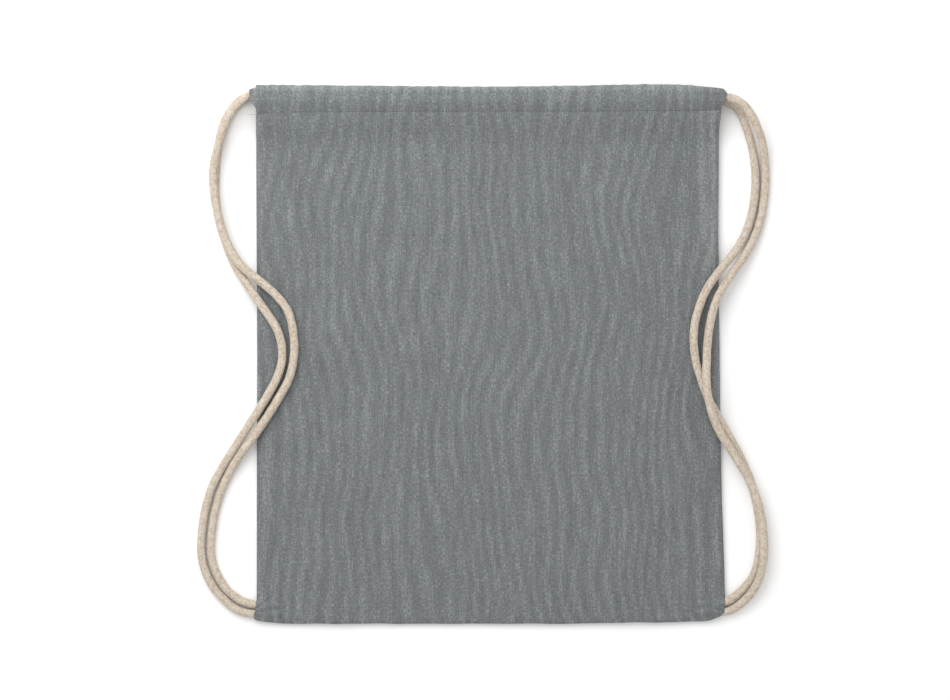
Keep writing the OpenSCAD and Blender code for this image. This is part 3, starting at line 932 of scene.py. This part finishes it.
STITCH_PITCH = 2.9 * MM
STITCH_LENGTH = 2.3 * MM
THREAD = 0.22 * MM  # half the thread's thickness
TAIL_THREAD = 0.11 * MM
TACK_THREAD = 0.3 * MM
FRONT_ROW_END = 176.5 * MM
BACK_ROW_END = 176 * MM


def hem_stitches(low, high, height, raised):
    """Where each stitch of the hem starts and ends on the cloth, from low to high in X."""
    count = int((high - low) / STITCH_PITCH)
    at = low + (np.arange(count) + 0.5) * STITCH_PITCH

    def on_cloth(x):
        y = hem_line(x) - 0.35 * MM
        return np.stack([x, y, height(x, y) + raised], 1)

    return on_cloth(at - STITCH_LENGTH / 2), on_cloth(at + STITCH_LENGTH / 2)


def add_hem_stitching(material):
    for side, name in SIDE_NAMES.items():
        low, high = sorted((0.0, side * FRONT_ROW_END))
        starts, ends = hem_stitches(low, high, front_z, 0.08 * MM)
        row = stitch_row(f"front_hem_stitching_{name}_half", starts, ends, THREAD)
        dress(row, material, "front_hem_stitching")
        bend_at_mouth(row, side)
    starts, ends = hem_stitches(-BACK_ROW_END, BACK_ROW_END, back_z, CLOTH + 0.1 * MM)
    row = stitch_row("back_hem_stitching_row", starts, ends, THREAD)
    dress(row, material, "back_hem_stitching")
    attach(row, "bag_back")


SEAM_WIDTH = 10 * MM
SEAM_LOW, SEAM_HIGH = -185 * MM, 182 * MM
SEAM_CLOTH = 1.1 * MM  # two plies
ZIGZAG = 2.4 * MM  # distance between neighbouring teeth of the overlock


def seam_edge(side, y):
    return (right_edge(y) if side > 0 else left_edge(y)) - side * 1.3 * MM


def add_seam_cloth(side, material):
    """The seam allowances inside the bag, two plies thick."""
    node = f"{SIDE_NAMES[side]}_side_seam"
    inward, y = np.meshgrid(np.linspace(0, 1, 7), np.linspace(SEAM_LOW, SEAM_HIGH, 150))
    x = seam_edge(side, y) - side * inward * SEAM_WIDTH
    z = seam_z(y) + SEAM_CLOTH / 2 + 0.35 * MM * soft_noise(y, x, 30 * MM, 51 + side) * inward
    strip = back_sheet(node, material, np.stack([x, y, z], -1), np.stack([x, y], -1), -side, SEAM_CLOTH)


def add_overlock(side, material):
    """The zigzag of thread over the seam's raw edges."""
    node = f"{SIDE_NAMES[side]}_seam_overlock"
    at = np.arange(SEAM_LOW + 2 * MM, SEAM_HIGH - 2 * MM, ZIGZAG)
    half_way = at + ZIGZAG / 2
    on_cloth = seam_edge(side, at) - side * (SEAM_WIDTH - 3.2 * MM)
    past_edge = seam_edge(side, half_way) - side * (SEAM_WIDTH + 0.15 * MM)
    outer = np.stack([on_cloth, at, seam_z(at) + 0.75 * MM], 1)
    inner = np.stack([past_edge, half_way, seam_z(at) + 0.6 * MM], 1)
    starts = np.concatenate([outer, inner[:-1]])
    ends = np.concatenate([inner, outer[1:]])
    zigzag = stitch_row(f"{node}_thread", starts, ends, THREAD)
    dress(zigzag, material, node)
    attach(zigzag, "bag_back")


def add_thread_tail(material):
    """The loose end of the hem's thread, from the cloth's left edge outward."""
    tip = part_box("thread_tail")[0]
    y = hem_line(np.array([-HALF]))
    on_cloth = front_z(np.array([-HALF + 3 * MM]), y)
    root = np.array([-HALF + 1.5 * MM, y[0] - 0.2 * MM, on_cloth[0] - 1 * MM])
    bends = [root, root + [-1.6 * MM, -0.3 * MM, 0.1 * MM], root + [-3.2 * MM, -0.8 * MM, -0.6 * MM]]
    bends.append(np.array([tip.x + 1.5 * MM, y[0] - 0.6 * MM, root[2] - 1.4 * MM]))
    line, _ = evenly(smooth_route(np.array(bends)), 0.5 * MM)
    overlap = (line[1:] - line[:-1]) * 0.15
    tail = stitch_row("thread_tail_end", line[:-1], line[1:] + overlap, TAIL_THREAD)
    dress(tail, material, "thread_tail")
    bend_at_mouth(tail, -1)


# ---------------------------------------------------------------- cords inside the bag
CORNER_ENDS_IN = 16 * MM
CORNER_ENDS_Z = 3.0 * MM
TACK_Z = 4.9 * MM
TACK_CORNERS = 9  # places where a bar tack's thread turns back


def straight_line(x_from, x_to, y, z, count=80):
    return np.stack([np.linspace(x_from, x_to, count), np.full(count, y), np.full(count, z)], 1)


def turn_line(far, side, y, count=40):
    """A cord's half turn from the front channel to the back one."""
    angles = np.linspace(0, math.pi, count)
    radius = (FRONT_LANE_Z - BACK_LANE_Z) / 2
    x = far - side * radius * np.sin(angles)
    z = (FRONT_LANE_Z + BACK_LANE_Z) / 2 + radius * np.cos(angles)
    return np.stack([x, np.full(count, y), z], 1)


def hidden_cord(name, node, material, line, sides=20, step=0.9 * MM):
    cord, _, _ = cord_mesh(name, line, CORD_IN_CASING, sides, step)
    dress(cord, material, node)
    return cord


def add_hidden_cords(material):
    """Each cord's run in the back channel, its run in the front one and the turn between them."""
    start = EXIT_X - (INTO_CASING - 1) * MM
    for side, lane in ((-1, UPPER_LANE_Y), (1, LOWER_LANE_Y)):
        cord = f"{SIDE_NAMES[side]}_cord"
        outer, far = side * start, -side * BIGHT_X
        line = straight_line(outer, far, lane, BACK_LANE_Z)
        run = hidden_cord(f"{cord}_back_run_braid", f"{cord}_back_run", material, line)
        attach(run, cord)
        for half, name in SIDE_NAMES.items():
            low, high = sorted((0.0, outer if half == side else far + side * CORD_TRAVEL))
            line = straight_line(low, high, lane, FRONT_LANE_Z)
            run = hidden_cord(f"{cord}_front_run_{name}_half", f"{cord}_front_run", material, line)
            bend_at_mouth(run, half)
        line = turn_line(far, side, lane)
        bight = hidden_cord(f"{cord}_bight_braid", f"{cord}_bight", material, line, 24, 0.6 * MM)
        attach(bight, cord)


def thinning(places, length):
    """A cord's end in the corner is pressed flat, and more so towards its tip."""
    return 1 + 0 * places, 0.55 - 0.15 * places / length


def add_corner_ends(side, material):
    """Each cord's flattened end inside the bottom corner."""
    node = f"{SIDE_NAMES[side]}_corner_cord_ends"
    low, high = CORNER_BOXES[side]
    outer, inner = side * (HALF - (INTO_CORNER - 1) * MM), side * (HALF - CORNER_ENDS_IN)
    pieces = []
    for y in (high.y - CORNER_LANE, low.y + CORNER_LANE):
        line = straight_line(outer, inner, y, CORNER_ENDS_Z)
        part, _, _ = cord_mesh(node + "_part", line, CORD, 24, 0.7 * MM, thinning)
        pieces.append(part)
    ends = join(pieces, node + "_braid")
    dress(ends, material, node)
    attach(ends, "bag_back")


def add_bartack(side, material):
    """The close stitches that hold the cords' ends."""
    node = f"{SIDE_NAMES[side]}_corner_bartack"
    low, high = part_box(node)
    xs = np.linspace(low.x, high.x, TACK_CORNERS)
    ys = np.tile([low.y, high.y], TACK_CORNERS)[:TACK_CORNERS]
    corners = np.stack([xs, ys, np.full(TACK_CORNERS, TACK_Z)], 1)
    tack = stitch_row(node + "_thread", corners[:-1], corners[1:], TACK_THREAD)
    dress(tack, material, node)
    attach(tack, "bag_back")


def join(objects, name):
    """One object from several, keeping their UVs and normals."""
    first = objects[0]
    chosen = {"selected_objects": objects, "selected_editable_objects": objects}
    with bpy.context.temp_override(active_object=first, object=first, **chosen):
        bpy.ops.object.join()
    first.name = name
    first.data.name = name
    return first


# ---------------------------------------------------------------- floor and light
FLOOR_REACH = 6.0
FLOOR_WHITE = 0.93
SKY_STRENGTH = 0.88
KEY_PLACE = (-0.45, 0.72, 0.90)
KEY_SIZE = 1.2
KEY_POWER = 11.0


def add_floor():
    mesh = bpy.data.meshes.new("floor")
    corners = [(FLOOR_REACH * x, FLOOR_REACH * y, 0) for x, y in ((-1, -1), (1, -1), (1, 1), (-1, 1))]
    mesh.from_pydata(corners, [], [(0, 1, 2, 3)])
    floor = link("floor", mesh)
    floor.location.z = -0.02 * MM
    n = Nodes("floor_paper")
    n.shader.inputs["Base Color"].default_value = (FLOOR_WHITE, FLOOR_WHITE, FLOOR_WHITE, 1)
    n.surface(Roughness=0.9, Specular_IOR_Level=0.0)
    mesh.materials.append(n.material)


def add_light(name, place, size, power):
    """A round lamp that looks at the middle of the bag."""
    data = bpy.data.lights.new(name, "AREA")
    data.shape = "DISK"
    data.size = size
    data.energy = power
    lamp = link(name, data)
    lamp.location = place
    lamp.rotation_euler = (-Vector(place)).to_track_quat("-Z", "Y").to_euler()


def add_lights():
    world = bpy.data.worlds.new("studio")
    world.use_nodes = True
    background = world.node_tree.nodes["Background"]
    background.inputs["Color"].default_value = (1.0, 1.0, 1.0, 1)
    background.inputs["Strength"].default_value = SKY_STRENGTH
    bpy.context.scene.world = world
    add_light("key", KEY_PLACE, KEY_SIZE, KEY_POWER)
    bpy.context.scene.view_settings.view_transform = "Standard"
    bpy.context.scene.view_settings.look = "None"


# ---------------------------------------------------------------- the scene
add_camera()
cord_cotton = cord_material()
add_straps(cord_cotton)
cloth_cotton = cloth_material("heather_cotton")
# The channels' cloth: painted shade at its side ends and a painted highlight along its top edge.
hem_cotton = cloth_material("heather_cotton_hem", 1.01, -0.6, 0.115)
# The pieces inside the bag: the same cloth at 0.9 of its brightness, painted shade.
inside_cotton_shaded = cloth_material("heather_cotton_inside", 0.9)
grey_thread = thread_material()
add_front_panel(cloth_cotton)
add_back_panel(cloth_cotton)
add_bottom_fold(cloth_cotton)
add_casings(hem_cotton)
add_hem_turn_ins(inside_cotton_shaded)
add_hem_stitching(grey_thread)
for seam_side in SIDE_NAMES:
    add_seam_cloth(seam_side, inside_cotton_shaded)
    add_overlock(seam_side, grey_thread)
add_thread_tail(grey_thread)
add_hidden_cords(cord_cotton)
for corner_side in SIDE_NAMES:
    add_corner_ends(corner_side, cord_cotton)
    add_bartack(corner_side, grey_thread)
add_floor()
add_lights()
